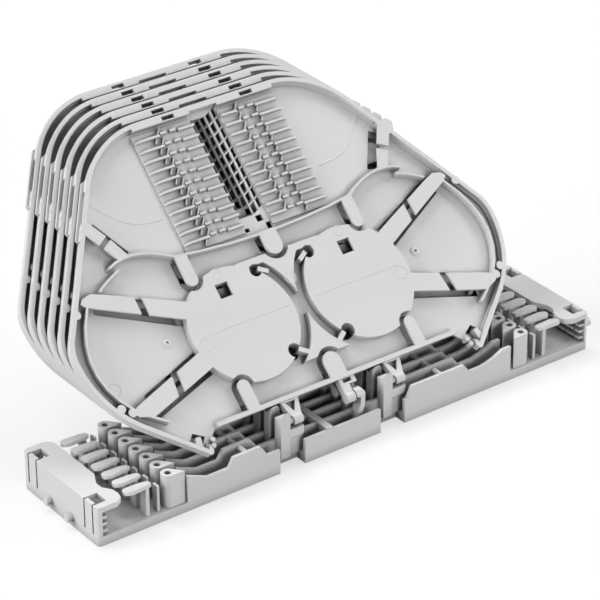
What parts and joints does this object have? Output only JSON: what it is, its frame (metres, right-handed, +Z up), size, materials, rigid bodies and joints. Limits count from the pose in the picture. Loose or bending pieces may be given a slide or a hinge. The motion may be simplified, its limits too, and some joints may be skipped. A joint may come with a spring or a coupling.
{
  "type": "fibre splice tray organiser",
  "caption": "Light-grey plastic fibre organiser: hinged splice trays leaning back in a row on a grooved base with fibre channels, posts and end blocks.",
  "frame": {"origin": "middle of the base's underside", "axes": "+X along the base and the hinge lines, +Y from the base's front edge to its back, +Z up"},
  "size_m": [0.306, 0.1732, 0.136],
  "materials": {
    "base_plastic": "satin",
    "tray_plastic": "satin",
    "holder_plastic": "satin"
  },
  "bodies": {
    "base": {"organiser_base": "base_plastic"},
    "tray_a": {"splice_tray_a": "tray_plastic", "splice_holder_a_left": "holder_plastic", "splice_holder_a_right": "holder_plastic"},
    "tray_b": {"splice_tray_b": "tray_plastic", "splice_holder_b_left": "holder_plastic", "splice_holder_b_right": "holder_plastic"},
    "tray_c": {"splice_tray_c": "tray_plastic", "splice_holder_c_left": "holder_plastic", "splice_holder_c_right": "holder_plastic"},
    "tray_d": {"splice_tray_d": "tray_plastic", "splice_holder_d_left": "holder_plastic", "splice_holder_d_right": "holder_plastic"},
    "tray_e": {"splice_tray_e": "tray_plastic", "splice_holder_e_left": "holder_plastic", "splice_holder_e_right": "holder_plastic"},
    "tray_f": {"splice_tray_f": "tray_plastic", "splice_holder_f_left": "holder_plastic", "splice_holder_f_right": "holder_plastic"}
  },
  "joints": [
    {"name": "tray_a_hinge", "type": "hinge", "parent": "base", "child": "tray_a", "pos_m": [0, -0.0248, 0.022], "axis": [1, 0, 0], "range_deg": [0, 90]},
    {"name": "tray_b_hinge", "type": "hinge", "parent": "base", "child": "tray_b", "pos_m": [0, -0.016, 0.022], "axis": [1, 0, 0], "range_deg": [0, 90]},
    {"name": "tray_c_hinge", "type": "hinge", "parent": "base", "child": "tray_c", "pos_m": [0, -0.0072, 0.022], "axis": [1, 0, 0], "range_deg": [0, 90]},
    {"name": "tray_d_hinge", "type": "hinge", "parent": "base", "child": "tray_d", "pos_m": [0, 0.0016, 0.022], "axis": [1, 0, 0], "range_deg": [0, 90]},
    {"name": "tray_e_hinge", "type": "hinge", "parent": "base", "child": "tray_e", "pos_m": [0, 0.0104, 0.022], "axis": [1, 0, 0], "range_deg": [0, 90]},
    {"name": "tray_f_hinge", "type": "hinge", "parent": "base", "child": "tray_f", "pos_m": [0, 0.0192, 0.022], "axis": [1, 0, 0], "range_deg": [0, 90]}
  ],
  "couplings": [
    {"joint": "tray_b_hinge", "follows": "tray_a_hinge", "ratio": 1},
    {"joint": "tray_c_hinge", "follows": "tray_a_hinge", "ratio": 1},
    {"joint": "tray_d_hinge", "follows": "tray_a_hinge", "ratio": 1},
    {"joint": "tray_e_hinge", "follows": "tray_a_hinge", "ratio": 1},
    {"joint": "tray_f_hinge", "follows": "tray_a_hinge", "ratio": 1}
  ]
}
